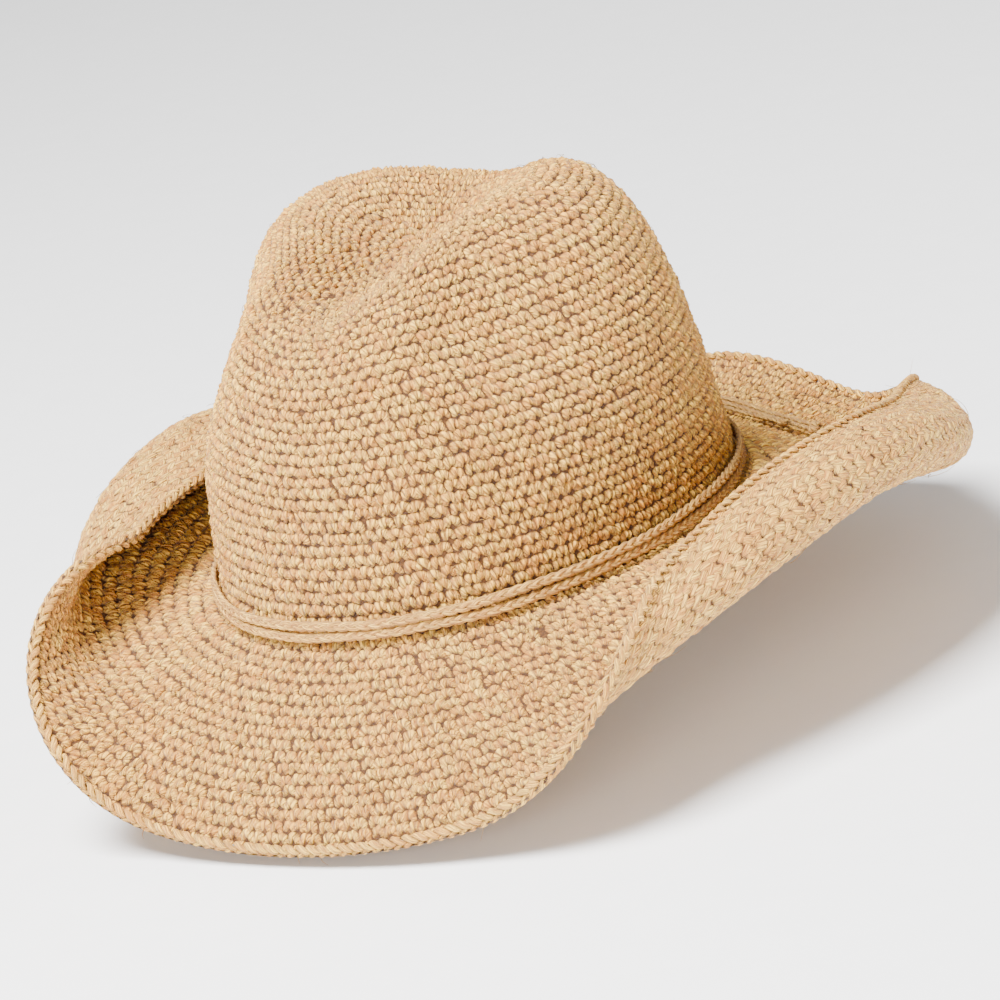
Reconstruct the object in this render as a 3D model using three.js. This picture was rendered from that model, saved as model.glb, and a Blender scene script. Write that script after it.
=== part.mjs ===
// A cowboy hat crocheted in natural raffia: pinched teardrop crown, side-rolled wired brim, braided cord
// hatband tied at the back. Millimetres, +Z up, the hat's front faces -Y and the wearer's left is +X.
// The origin is the centre of the head opening, where the crown meets the brim.

import * as THREE from "three";

// ---- crown: a superellipse dome on an oval base, dented from above and pinched from both sides ----
const WALL = 3;                 // thickness of the crocheted fabric
const BASE_HALF_LENGTH = 100.5; // mid-wall, front to back
const BASE_HALF_WIDTH = 84.5;   // mid-wall, side to side
const CROWN_HEIGHT = 126;
const CROWN_SQUARENESS = 4.4;   // superellipse exponent of the side profile
const TAPER_FRONT = 0.13;       // how much narrower the top is than the base, towards each side
const TAPER_BACK = 0.28;
const TAPER_SIDE = 0.11;
const TAPER_CURVE = 1.3;
const BACK_RISE = 6;            // the back of the top stands this much higher
const CREASE = { depth: 24, extraAtFront: 6, centreY: -8, halfLength: 74, halfWidth: 31 };
const PINCH = { depth: 19, drop: 6.6, x: 48, y: -36, z: 94, radius: 34 };
const CROWN_FOOT = 2.1;         // the wall stops this far above the brim's middle surface

// ---- brim: a sheet whose slope turns with the distance from the crown, rolled up at both sides ----
const WIDTH_FRONT = 74;
const WIDTH_BACK = 76;
const WIDTH_FRONT_CORNER = -4;  // change of width half-way between front and side
const WIDTH_BACK_CORNER = 28;
const DIP_FRONT = 41;           // downward slope at the crown, in degrees
const DIP_BACK = 20;
const DIP_SIDE = -4;
const DIP_BACK_CORNER = 13;
const CURL_FRONT = 15;          // further downward turn from the crown to the edge
const CURL_BACK = -38;
const CURL_SIDE = -3;
// Beside each rolled end the brim's back corner curls down by this much, within these angles from the front.
const BACK_CORNER_CURL = { amount: 19, from: 136, full: 158, until: 160 };
const ROLL = 170;               // how far the side brim turns over, in degrees
const ROLL_FALL = [156, 172];   // angles from the front between which the roll dies away
const ROLL_TURN = [50, 40];     // length of the turn along the brim, at the front and at the back
const SIDE_WIDTH = 108;
const LEFT = { rollRise: [26, 62], rollStart: [36, 78], lift: 0 };  // the wearer's left, +X
const RIGHT = { rollRise: [20, 56], rollStart: [24, 56], lift: 16 };

// ---- edging, hatband and lining ----
const EDGE_RADIUS = 2.3;
const EDGE_BORE = 1.35;
const EDGE_MOUTH = 42;          // half angle of the edging's open side, in degrees
const WIRE_RADIUS = 0.55;
const FERRULE = { bore: 0.75, radius: 1.0, halfAngle: 2.2 };
const RIM_GAP = 4.5;            // from the hat's outer edge to the brim sheet's rim
const CORD_RADIUS = 1.6;
const CORD_CLEARANCE = 0.5;     // between the hatband and the crown, and between its two cords
const CORD_HEIGHT_SIDE = 4.3;   // the lower cord's centre above the base line
const CORD_DROP = 1.4;          // how much lower it runs at the front and back
const CORD_RISE_RIGHT = 1.5;    // how much higher on the wearer's right, where the brim rises from the crown
const KNOT = { angle: 190, length: 8, depth: 4.3, height: 4.6, z: 5.2 };
const TAIL_RADIUS = 1.2;
const TAIL_LIFT = 0.7;          // clear gap between a tail and the brim under it
const TAIL_KNOT_RADIUS = 2.3;
const BAND = { gap: 0.5, leaf: 0.8, channel: 1.3, bottom: 0.8, hemTop: 12.8, top: 30.8, joinHalfAngle: 0.8 };
const ELASTIC = { thickness: 0.7, bottom: 1.95, top: 7.9 };

// Each tail is a list of [angle from the front in degrees, distance along the brim from the crown].
// It leaves the knot above the brim: its first places are raised by TAIL_START millimetres.
const TAIL_START = [4, 1.5];
const TAILS = {
  hatband_tail_1: [[187.4, 11.2], [186.5, 15], [184, 21], [179, 27.5], [172, 31], [163, 32.8], [154, 33.5]],
  hatband_tail_2: [[189.3, 11.8], [189, 15.5], [187, 22], [181, 31], [172, 35.4], [160, 37.6], [147, 38.2]],
  hatband_tail_3: [[191.2, 11.8], [191.2, 15.5], [189.6, 24], [183, 34.6], [173, 39.8], [162, 42], [151, 43]],
  hatband_tail_4: [[193.2, 11], [194, 15], [197, 21.5], [202, 27], [209, 31], [216, 33]],
};

const DEGREE = Math.PI / 180;
const clamp01 = (v) => Math.min(1, Math.max(0, v));
const smooth = (v) => clamp01(v) ** 2 * (3 - 2 * clamp01(v));
const mix = (a, b, t) => a + (b - a) * t;
const power = (v, p) => Math.sign(v) * Math.abs(v) ** p;

// ---- middle surface of the crown ----

// Angles t along the dome's profile that are evenly spaced in arc length, from the tip to the foot.
function evenProfileAngles(count) {
  const fine = 600;
  const meanRadius = (BASE_HALF_LENGTH + BASE_HALF_WIDTH) / 2;
  const at = (i) => {
    const phi = (i / fine) * Math.PI / 2;
    const r = power(Math.sin(phi), 2 / CROWN_SQUARENESS);
    const z = power(Math.cos(phi), 2 / CROWN_SQUARENESS);
    return [meanRadius * r * (1 - TAPER_SIDE * z), CROWN_HEIGHT * z, phi];
  };
  const lengths = [0];
  for (let i = 1; i <= fine; i++) {
    const [r0, z0] = at(i - 1);
    const [r1, z1] = at(i);
    lengths.push(lengths[i - 1] + Math.hypot(r1 - r0, z1 - z0));
  }
  const total = lengths[fine];
  const angles = [];
  for (let k = 0; k < count; k++) {
    const target = (k / (count - 1)) * total;
    let i = 1;
    while (i < fine && lengths[i] < target) i++;
    const part = (target - lengths[i - 1]) / (lengths[i] - lengths[i - 1]);
    angles.push(((i - 1 + part) / fine) * Math.PI / 2);
  }
  angles[count - 1] = Math.acos((CROWN_FOOT / CROWN_HEIGHT) ** (CROWN_SQUARENESS / 2));
  return angles;
}

function dented(p) {
  const up = smooth(p.z / CROWN_HEIGHT / 0.75);
  const across = Math.exp(-((p.x / CREASE.halfWidth) ** 2));
  const along = Math.exp(-(Math.abs((p.y - CREASE.centreY) / CREASE.halfLength) ** 3));
  const depth = CREASE.depth + CREASE.extraAtFront * smooth(-p.y / 60);
  const moved = p.clone();
  moved.z -= depth * across * along * up;
  for (const side of [1, -1]) {
    const away = (p.x - side * PINCH.x) ** 2 + (p.y - PINCH.y) ** 2 + (p.z - PINCH.z) ** 2;
    const weight = Math.exp(-away / PINCH.radius ** 2);
    moved.x -= side * PINCH.depth * weight;
    moved.z -= PINCH.drop * weight;
  }
  return moved;
}

// angle is measured from the front, towards the wearer's left; phi runs from the tip to the foot.
function crownMiddle(angle, phi) {
  const r = power(Math.sin(phi), 2 / CROWN_SQUARENESS);
  const z = power(Math.cos(phi), 2 / CROWN_SQUARENESS);
  const taper = z ** TAPER_CURVE;
  const front = smooth((1 + Math.cos(angle)) / 2);
  const taperLong = mix(TAPER_BACK, TAPER_FRONT, front);
  const x = BASE_HALF_WIDTH * r * Math.sin(angle) * (1 - TAPER_SIDE * taper);
  const y = -BASE_HALF_LENGTH * r * Math.cos(angle) * (1 - taperLong * taper);
  return dented(new THREE.Vector3(x, y, CROWN_HEIGHT * z + BACK_RISE * z * smooth(y / 70)));
}

function crownNormal(angle, phi) {
  const step = 0.004;
  const phiLow = Math.max(phi - step, 1e-4);
  const phiHigh = Math.min(phi + step, Math.PI / 2 - 1e-5);
  const along = crownMiddle(angle, phiHigh).sub(crownMiddle(angle, phiLow));
  const around = crownMiddle(angle + step, Math.max(phi, 0.01));
  around.sub(crownMiddle(angle - step, Math.max(phi, 0.01)));
  return along.cross(around).normalize();
}

// ---- the oval base line and the upright wall above it ----

function baseNormal(angle) {
  const across = Math.sin(angle) / BASE_HALF_WIDTH;
  const along = -Math.cos(angle) / BASE_HALF_LENGTH;
  return new THREE.Vector3(across, along, 0).normalize();
}

// A point at height z, offset outwards from the middle of the crown's wall.
function besideWall(angle, z, offset) {
  const rise = Math.max(z, 0) / CROWN_HEIGHT;
  const r = (1 - rise ** CROWN_SQUARENESS) ** (1 / CROWN_SQUARENESS);
  const taper = rise ** TAPER_CURVE;
  const taperLong = mix(TAPER_BACK, TAPER_FRONT, smooth((1 + Math.cos(angle)) / 2));
  const x = BASE_HALF_WIDTH * r * Math.sin(angle) * (1 - TAPER_SIDE * taper);
  const y = -BASE_HALF_LENGTH * r * Math.cos(angle) * (1 - taperLong * taper);
  return new THREE.Vector3(x, y, z).addScaledVector(baseNormal(angle), offset);
}

// ---- middle surface of the brim ----

// Everything that shapes the brim's section at one angle.
function brimSection(angle) {
  const sine = Math.sin(angle);
  const side = sine ** 2;
  const front = smooth((1 + Math.cos(angle)) / 2);
  const corner = 4 * side * (1 - side);
  const isFront = Math.cos(angle) > 0;
  const cornerWidth = isFront ? WIDTH_FRONT_CORNER : WIDTH_BACK_CORNER;
  const cornerDip = isFront ? 0 : DIP_BACK_CORNER;
  const half = sine >= 0 ? LEFT : RIGHT;
  const fromFront = Math.acos(Math.min(1, Math.max(-1, Math.cos(angle)))) / DEGREE;
  const blend = (atFront, atBack, atSide) => mix(mix(atBack, atFront, front), atSide, side);
  const grow = smooth((fromFront - half.rollRise[0]) / (half.rollRise[1] - half.rollRise[0]));
  const fade = smooth((ROLL_FALL[1] - fromFront) / (ROLL_FALL[1] - ROLL_FALL[0]));
  const back = fromFront / 180;
  const droop = BACK_CORNER_CURL;
  const drooping = smooth((fromFront - droop.from) / (droop.full - droop.from))
    * smooth((180 - fromFront) / (180 - droop.until));
  return {
    width: blend(WIDTH_FRONT, WIDTH_BACK, SIDE_WIDTH) + corner * cornerWidth,
    dip: blend(DIP_FRONT, DIP_BACK, DIP_SIDE) + corner * cornerDip - half.lift * side,
    curl: blend(CURL_FRONT, CURL_BACK, CURL_SIDE) + droop.amount * drooping,
    roll: ROLL * grow * fade,
    rollStart: mix(half.rollStart[0], half.rollStart[1], back),
    rollTurn: mix(ROLL_TURN[0], ROLL_TURN[1], back),
  };
}

// The brim's upward slope at a distance from the crown, in radians.
function brimSlope(section, distance) {
  const turned = section.roll * smooth((distance - section.rollStart) / section.rollTurn);
  return (turned - section.dip - (section.curl * distance) / section.width) * DEGREE;
}

// The point a distance along the brim from the crown, with its outward and upward directions.
function brimAt(angle, distance) {
  const section = brimSection(angle);
  const steps = 48;
  let out = 0;
  let up = 0;
  for (let i = 0; i < steps; i++) {
    const slope = brimSlope(section, ((i + 0.5) / steps) * distance);
    out += (Math.cos(slope) * distance) / steps;
    up += (Math.sin(slope) * distance) / steps;
  }
  const slope = brimSlope(section, distance);
  const away = baseNormal(angle);
  const point = besideWall(angle, 0, out).setZ(up);
  const outward = away.clone().multiplyScalar(Math.cos(slope)).setZ(Math.sin(slope));
  const upward = away.clone().multiplyScalar(-Math.sin(slope)).setZ(Math.cos(slope));
  return { point, outward, upward };
}

// ---- closed meshes from rings of points ----

// Joins rings of equal length into one surface. Rings go round so that the faces point outwards.
// ends: "wrap" joins the last ring to the first, "fan" closes each end from its centre,
// "poles" closes each end to a given point, and "flat" fills each end with the outline's triangles.
function loft(rings, ends, extra = {}) {
  const size = rings[0].length;
  const points = rings.flat();
  const faces = [];
  const index = (i, j) => (i % rings.length) * size + (j % size);
  const last = ends === "wrap" ? rings.length : rings.length - 1;
  for (let i = 0; i < last; i++) {
    for (let j = 0; j < size; j++) {
      const opposite = index(i + 1, j + 1);
      faces.push([index(i, j), opposite, index(i + 1, j)]);
      faces.push([index(i, j), index(i, j + 1), opposite]);
    }
  }
  const closeWith = (ring, centre, flip) => {
    points.push(centre);
    const hub = points.length - 1;
    for (let j = 0; j < size; j++) {
      const pair = [index(ring, j), index(ring, j + 1)];
      faces.push(flip ? [hub, pair[1], pair[0]] : [hub, pair[0], pair[1]]);
    }
  };
  if (ends === "poles" || ends === "fan") {
    const middle = (ring) => ring.reduce((sum, p) => sum.add(p), new THREE.Vector3()).divideScalar(size);
    closeWith(0, extra.start ?? middle(rings[0]), true);
    closeWith(rings.length - 1, extra.end ?? middle(rings[rings.length - 1]), false);
  }
  if (ends === "flat") {
    for (const [a, b, c] of THREE.ShapeUtils.triangulateShape(extra.outline, [])) {
      faces.push([index(0, c), index(0, b), index(0, a)]);
      faces.push([index(last, a), index(last, b), index(last, c)]);
    }
  }
  const geometry = new THREE.BufferGeometry().setFromPoints(points);
  geometry.setIndex(facingOut(points, faces).flat());
  geometry.computeVertexNormals();
  return geometry;
}

// Turns all faces over if they enclose a negative volume.
function facingOut(points, faces) {
  let volume = 0;
  for (const [a, b, c] of faces) volume += points[a].dot(points[b].clone().cross(points[c]));
  return volume > 0 ? faces : faces.map(([a, b, c]) => [a, c, b]);
}

const anglesRound = (count) => Array.from({ length: count }, (_, i) => (i / count) * 2 * Math.PI);
const anglesBetween = (from, to, steps) =>
  Array.from({ length: steps + 1 }, (_, i) => mix(from, to, i / steps) * DEGREE);

// Splits a range into parts of equal measure, where measure(a, b) is the size of a small part of it.
function evenSplit(from, to, parts, measure) {
  const fine = 400;
  const at = (i) => mix(from, to, i / fine);
  const sums = [0];
  for (let i = 1; i <= fine; i++) sums.push(sums[i - 1] + measure(at(i - 1), at(i)));
  const places = [];
  let i = 1;
  for (let k = 0; k < parts; k++) {
    const target = (k / parts) * sums[fine];
    while (sums[i] < target) i++;
    places.push(at(i - 1 + (target - sums[i - 1]) / (sums[i] - sums[i - 1])));
  }
  return [...places, to];
}

// Angles round the brim, evenly spaced along its edge and along a line inside it.
function brimAngles(count) {
  const edgePoint = (angle, share) => brimAt(angle, brimSection(angle).width * share).point;
  const measure = (a, b) =>
    edgePoint(a, 1).distanceTo(edgePoint(b, 1)) + edgePoint(a, 0.7).distanceTo(edgePoint(b, 0.7));
  return evenSplit(0, 2 * Math.PI, count, measure).slice(0, count);
}

// Distances across the brim to a limit, closer together where it turns.
function brimDistances(angle, limit, parts) {
  const section = brimSection(angle);
  const turnLength = 22;
  return evenSplit(0, limit, parts, (a, b) =>
    b - a + turnLength * Math.abs(brimSlope(section, b) - brimSlope(section, a)));
}

// ---- the pieces ----

function crownGeometry() {
  const phis = evenProfileAngles(15).slice(1);
  const round = anglesRound(40);
  const skin = (offset) => phis.map((phi) =>
    round.map((angle) => crownMiddle(angle, phi).addScaledVector(crownNormal(angle, phi), offset)));
  const outer = skin(WALL / 2);
  const inner = skin(-WALL / 2);
  for (const ring of [outer.at(-1), inner.at(-1)]) ring.forEach((p) => p.setZ(CROWN_FOOT));
  const tip = crownMiddle(0, 0);
  const raised = (offset) => tip.clone().setZ(tip.z + offset);
  return loft([...outer, ...inner.reverse()], "poles", { start: raised(WALL / 2), end: raised(-WALL / 2) });
}

// The edge wire's two ends meet at the back, so the edging has rings of its own there.
const ferruleAngles = [-1, 0, 1].map((end) => Math.PI + end * FERRULE.halfAngle * DEGREE);
const roundBrim = brimAngles(72)
  .filter((angle) => Math.abs(angle - Math.PI) > 1.6 * FERRULE.halfAngle * DEGREE)
  .concat(ferruleAngles)
  .sort((a, b) => a - b);

function brimGeometry() {
  const sections = roundBrim.map((angle) => {
    const distances = brimDistances(angle, brimSection(angle).width - RIM_GAP, 14);
    const places = distances.map((distance) => brimAt(angle, distance));
    const face = (offset) => places.map(({ point, upward }) => point.clone().addScaledVector(upward, offset));
    return [...face(WALL / 2), ...face(-WALL / 2).reverse()];
  });
  return loft(sections, "wrap");
}

// A ring of points round the brim's edge line, given in the section's outward and upward directions.
function atEdge(angle, outline) {
  const place = brimAt(angle, brimSection(angle).width - EDGE_RADIUS);
  return outline.map(([out, up]) =>
    place.point.clone().addScaledVector(place.outward, out).addScaledVector(place.upward, up));
}

function arc(radius, from, to, steps) {
  return anglesBetween(from, to, steps).map((a) => [radius * Math.cos(a), radius * Math.sin(a)]);
}

function edgeChainGeometry() {
  const end = 180 - EDGE_MOUTH;
  const outline = [...arc(EDGE_RADIUS, -end, end, 5), ...arc(EDGE_BORE, end, -end, 5)];
  return loft(roundBrim.map((angle) => atEdge(angle, outline)), "wrap");
}

function wireGeometry() {
  const outline = arc(WIRE_RADIUS, 0, 300, 5);
  const joinHalfAngle = 0.2 * DEGREE;
  const after = roundBrim.filter((angle) => angle > Math.PI);
  const before = roundBrim.filter((angle) => angle < Math.PI);
  const round = [Math.PI + joinHalfAngle, ...after, ...before, Math.PI - joinHalfAngle];
  return loft(round.map((angle) => atEdge(angle, outline)), "fan");
}

function ferruleGeometry() {
  const ring = (radius) => arc(radius, 0, 315, 7);
  const outside = ferruleAngles.map((angle) => atEdge(angle, ring(FERRULE.radius)));
  const bore = ferruleAngles.map((angle) => atEdge(angle, ring(FERRULE.bore)));
  return loft([...outside, ...bore.reverse()], "wrap");
}

// A strip with a flat outline of [offset from the wall's middle, height], swept round the wall.
function wallStrip(outline, from, to, steps) {
  const flat = outline.map(([offset, z]) => new THREE.Vector2(offset, z));
  const ringAt = (angle) => outline.map(([offset, z]) => besideWall(angle, z, offset));
  if (to - from === 360) return loft(anglesRound(steps).map(ringAt), "wrap");
  return loft(anglesBetween(from, to, steps).map(ringAt), "flat", { outline: flat });
}

const bandOuter = -(WALL / 2 + BAND.gap);
const channelOuter = bandOuter - BAND.leaf;
const channelInner = channelOuter - BAND.channel;
const bandInner = channelInner - BAND.leaf;
const channelFloor = BAND.bottom + BAND.leaf;

// A ribbon folded up at its lower edge: a short hem against the crown and a tall face towards the head.
function sweatbandGeometry() {
  const outline = [
    [bandOuter, BAND.bottom],
    [bandOuter, BAND.hemTop],
    [channelOuter, BAND.hemTop],
    [channelOuter, channelFloor],
    [channelInner, channelFloor],
    [channelInner, BAND.top],
    [bandInner, BAND.top],
    [bandInner, BAND.bottom],
  ];
  return wallStrip(outline, 180 + BAND.joinHalfAngle, 540 - BAND.joinHalfAngle, 48);
}

function patchOutline(outer, inner, low, high) {
  return [[outer, low], [outer, high], [inner, high], [inner, low]];
}

function elasticGeometry() {
  const outer = channelOuter - (BAND.channel - ELASTIC.thickness) / 2;
  return wallStrip(patchOutline(outer, outer - ELASTIC.thickness, ELASTIC.bottom, ELASTIC.top), 0, 360, 48);
}

function cordHeight(angle, isUpper) {
  const rightward = Math.max(-Math.sin(angle), 0) ** 2;
  const lower = CORD_HEIGHT_SIDE - CORD_DROP * Math.cos(angle) ** 2 + CORD_RISE_RIGHT * rightward;
  return lower + (isUpper ? 2 * CORD_RADIUS + CORD_CLEARANCE : 0);
}

// A round tube with an eight-sided section.
function tube(points, radius, steps) {
  const shape = new THREE.Shape();
  shape.absarc(0, 0, radius, 0, 2 * Math.PI, false);
  const extrudePath = new THREE.CatmullRomCurve3(points, false, "centripetal");
  return new THREE.ExtrudeGeometry(shape, { steps, curveSegments: 4, extrudePath, bevelEnabled: false });
}

function hatbandCordGeometry(isUpper) {
  const gapAngle = (KNOT.length + 0.5) / BASE_HALF_LENGTH / DEGREE;
  const outside = WALL / 2 + CORD_CLEARANCE + CORD_RADIUS;
  const round = anglesBetween(KNOT.angle + gapAngle, KNOT.angle + 360 - gapAngle, 60);
  const route = round.map((angle) => besideWall(angle, cordHeight(angle, isUpper), outside));
  return tube(route, CORD_RADIUS, 60);
}

// The centre of something of this radius lying on the brim.
function aboveBrim([degrees, distance], radius, extra = 0) {
  const place = brimAt(degrees * DEGREE, distance);
  return place.point.addScaledVector(place.upward, WALL / 2 + TAIL_LIFT + radius + extra);
}

// ---- materials ----
const raffia = new THREE.MeshStandardMaterial({ color: 0xd8b288, roughness: 0.75, metalness: 0 });
const raffiaEdge = new THREE.MeshStandardMaterial({ color: 0xe3c195, roughness: 0.7, metalness: 0 });
const braid = new THREE.MeshStandardMaterial({ color: 0xd5b18b, roughness: 0.7, metalness: 0 });
const steel = new THREE.MeshStandardMaterial({ color: 0xb9bcc0, roughness: 0.35, metalness: 1 });
const brass = new THREE.MeshStandardMaterial({ color: 0xc9a660, roughness: 0.4, metalness: 1 });
const ribbon = new THREE.MeshStandardMaterial({ color: 0xe9e0cf, roughness: 0.85, metalness: 0 });
const elasticWeb = new THREE.MeshStandardMaterial({ color: 0xf4f1ea, roughness: 0.8, metalness: 0 });
const labelCloth = new THREE.MeshStandardMaterial({ color: 0xf7f3e8, roughness: 0.8, metalness: 0 });

// ---- assembly ----
const hat = new THREE.Group();

function add(name, geometry, material) {
  const mesh = new THREE.Mesh(geometry, material);
  mesh.name = name;
  hat.add(mesh);
  return mesh;
}

add("crown", crownGeometry(), raffia);
add("brim", brimGeometry(), raffia);
add("brim_edge_chain", edgeChainGeometry(), raffiaEdge);
add("brim_wire", wireGeometry(), steel);
add("brim_wire_ferrule", ferruleGeometry(), brass);
add("sweatband", sweatbandGeometry(), ribbon);
add("sweatband_elastic", elasticGeometry(), elasticWeb);

const patchOuter = bandInner - 0.6;
const tabOutline = patchOutline(patchOuter, patchOuter - 0.7, 3, 28);
add("sweatband_join_tab", wallStrip(tabOutline, 177, 183, 2), ribbon);
const labelOutline = patchOutline(patchOuter, patchOuter - 0.5, 8, 22);
add("size_label", wallStrip(labelOutline, 197, 213, 4), labelCloth);

add("hatband_lower_cord", hatbandCordGeometry(false), braid);
add("hatband_upper_cord", hatbandCordGeometry(true), braid);

const knot = add("hatband_knot", new THREE.SphereGeometry(1, 14, 8), braid);
const knotAngle = KNOT.angle * DEGREE;
const knotAway = baseNormal(knotAngle);
knot.position.copy(besideWall(knotAngle, KNOT.z, WALL / 2 + CORD_CLEARANCE + KNOT.depth));
knot.rotation.z = Math.atan2(knotAway.y, knotAway.x);
knot.scale.set(KNOT.depth, KNOT.length, KNOT.height);

for (const [name, route] of Object.entries(TAILS)) {
  const knotCentre = aboveBrim(route.at(-1), TAIL_KNOT_RADIUS);
  const points = route.slice(0, -1).map((place, i) => aboveBrim(place, TAIL_RADIUS, TAIL_START[i]));
  const back = points.at(-1).clone().sub(knotCentre).normalize();
  points.push(knotCentre.clone().addScaledVector(back, TAIL_KNOT_RADIUS + 0.3));
  add(name, tube(points, TAIL_RADIUS, 16), braid);
  const knotBall = add(`${name}_knot`, new THREE.SphereGeometry(TAIL_KNOT_RADIUS, 10, 7), braid);
  knotBall.position.copy(knotCentre);
}

export default hat;
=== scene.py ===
"""The looks of the crocheted raffia cowboy hat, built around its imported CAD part. Lengths are worked out in
millimetres and turned into metres when a mesh is made; camera, floor and lights are in metres. Angles go
round from the hat's front (-Y) towards the wearer's left (+X)."""

import math

import bpy
import numpy as np
from mathutils import Matrix, Vector


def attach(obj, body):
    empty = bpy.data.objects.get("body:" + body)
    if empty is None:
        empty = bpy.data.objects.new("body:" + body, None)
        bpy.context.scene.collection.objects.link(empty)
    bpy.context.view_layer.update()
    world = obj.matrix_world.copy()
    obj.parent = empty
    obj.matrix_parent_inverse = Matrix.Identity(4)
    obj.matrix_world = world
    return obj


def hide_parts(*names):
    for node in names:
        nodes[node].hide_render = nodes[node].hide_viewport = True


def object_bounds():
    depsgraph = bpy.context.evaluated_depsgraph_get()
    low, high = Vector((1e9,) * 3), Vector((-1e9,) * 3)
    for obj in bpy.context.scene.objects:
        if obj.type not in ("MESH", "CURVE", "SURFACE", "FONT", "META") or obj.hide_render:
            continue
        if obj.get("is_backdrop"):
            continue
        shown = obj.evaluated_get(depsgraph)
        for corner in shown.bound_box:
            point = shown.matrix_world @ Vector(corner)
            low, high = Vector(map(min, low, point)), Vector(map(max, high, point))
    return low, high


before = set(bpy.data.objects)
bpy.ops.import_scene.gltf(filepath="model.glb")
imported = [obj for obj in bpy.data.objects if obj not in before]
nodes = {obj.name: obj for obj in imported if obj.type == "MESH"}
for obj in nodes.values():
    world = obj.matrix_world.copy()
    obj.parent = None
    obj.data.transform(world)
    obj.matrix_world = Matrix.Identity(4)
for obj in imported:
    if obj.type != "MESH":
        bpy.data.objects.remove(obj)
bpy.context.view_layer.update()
rng = np.random.default_rng(11)
DEG = math.pi / 180
TURN = 2 * math.pi

# ---------------------------------------- camera

HAT_CENTRE = Vector((0, 0, 0.04))
AZIMUTH, ELEVATION, TILT = 35.3 * DEG, 17.6 * DEG, 13 * DEG
DISTANCE, LENS = 1.85, 195
HAT_LEFT_OF_MIDDLE, HAT_ABOVE_MIDDLE = 0.0143, 0.0276  # where the hat's centre stands in the picture
outwards = math.cos(ELEVATION)
back = Vector((math.sin(AZIMUTH) * outwards, -math.cos(AZIMUTH) * outwards, math.sin(ELEVATION)))
level = Vector((math.cos(AZIMUTH), math.sin(AZIMUTH), 0))
plumb = back.cross(level)
right = level * math.cos(TILT) - plumb * math.sin(TILT)
above = level * math.sin(TILT) + plumb * math.cos(TILT)
camera = bpy.data.objects.new("camera", bpy.data.cameras.new("camera"))
bpy.context.scene.collection.objects.link(camera)
camera.data.lens = LENS
camera.data.clip_start, camera.data.clip_end = 0.05, 30
camera.location = HAT_CENTRE + right * HAT_LEFT_OF_MIDDLE - above * HAT_ABOVE_MIDDLE + back * DISTANCE
camera.rotation_mode = "QUATERNION"
camera.rotation_quaternion = Matrix((right, above, back)).transposed().to_quaternion()
bpy.context.scene.camera = camera

# ---------------------------------------- the hat's shape, as in the CAD part

WALL = 3
# The crown: a superellipse dome on an oval foot, measured to the middle of the wall. Its top is narrower than
# its foot, by a share for each side, and stands higher at the back.
HALF_LONG, HALF_WIDE = 100.5, 84.5
MEAN_RADIUS = (HALF_LONG + HALF_WIDE) / 2
HEIGHT, SQUARE = 126, 4.4
TAPER_FRONT, TAPER_BACK, TAPER_SIDE, TAPER_CURVE = 0.13, 0.28, 0.11, 1.3
BACK_RISE, BACK_RISE_LENGTH = 6, 70
CREASE = {
    "depth": 24, "extra": 6, "extra_length": 60, "full_at": 0.75,
    "y": -8, "half_length": 74, "half_width": 31,
}
PINCH = {"depth": 19, "drop": 6.6, "x": 48, "y": -36, "z": 94, "radius": 34}
# The brim: widths of fabric, downward slopes at the crown (dips) and further turns down to the edge (curls),
# in degrees. Corners are half-way between the front or the back and the side.
WIDTH_FRONT, WIDTH_BACK, WIDTH_SIDE, WIDTH_FRONT_CORNER, WIDTH_BACK_CORNER = 74, 76, 108, -4, 28
DIP_FRONT, DIP_BACK, DIP_SIDE, DIP_BACK_CORNER = 41, 20, -4, 13
CURL_FRONT, CURL_BACK, CURL_SIDE = 15, -38, -3
BACK_CORNER_CURL = {"amount": 19, "from": 136, "full": 158, "until": 160}
# The sides roll over by ROLL degrees. The roll grows and falls between two angles from the front. Its start
# and the length of its turn along the brim go from the first value at the front to the second at the back.
ROLL, ROLL_FALL, ROLL_TURN = 170, (156, 172), (50, 40)
LEFT = {"roll_rise": (26, 62), "roll_start": (36, 78), "lift": 0}
RIGHT = {"roll_rise": (20, 56), "roll_start": (24, 56), "lift": 16}


def smooth(v):
    v = np.clip(v, 0, 1)
    return v * v * (3 - 2 * v)


def mix(a, b, t):
    return a + (b - a) * t


def tapered_oval(angle, reach, rise):
    """x and y of the crown's section at a share of its height, where it has a share of the foot's reach."""
    taper = rise**TAPER_CURVE
    front = smooth((1 + np.cos(angle)) / 2)
    x = HALF_WIDE * reach * np.sin(angle) * (1 - TAPER_SIDE * taper)
    y = -HALF_LONG * reach * np.cos(angle) * (1 - mix(TAPER_BACK, TAPER_FRONT, front) * taper)
    return x, y


def crown_middle(angle, phi):
    """The crown's middle surface; phi goes from 0 at the tip to 90 degrees at the foot."""
    r, z = np.sin(phi) ** (2 / SQUARE), np.cos(phi) ** (2 / SQUARE)
    x, y = tapered_oval(angle, r, z)
    z = HEIGHT * z + BACK_RISE * z * smooth(y / BACK_RISE_LENGTH)
    up = smooth(z / HEIGHT / CREASE["full_at"])
    crease = np.exp(-((x / CREASE["half_width"]) ** 2))
    crease = crease * np.exp(-(np.abs((y - CREASE["y"]) / CREASE["half_length"]) ** 3))
    sunk = (CREASE["depth"] + CREASE["extra"] * smooth(-y / CREASE["extra_length"])) * crease * up
    moved_x, moved_z = x.copy(), z - sunk
    for side in (1, -1):
        away = (x - side * PINCH["x"]) ** 2 + (y - PINCH["y"]) ** 2 + (z - PINCH["z"]) ** 2
        pinch = np.exp(-away / PINCH["radius"] ** 2)
        moved_x = moved_x - side * PINCH["depth"] * pinch
        moved_z = moved_z - PINCH["drop"] * pinch
    return np.stack([moved_x, y, moved_z], -1)


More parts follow.
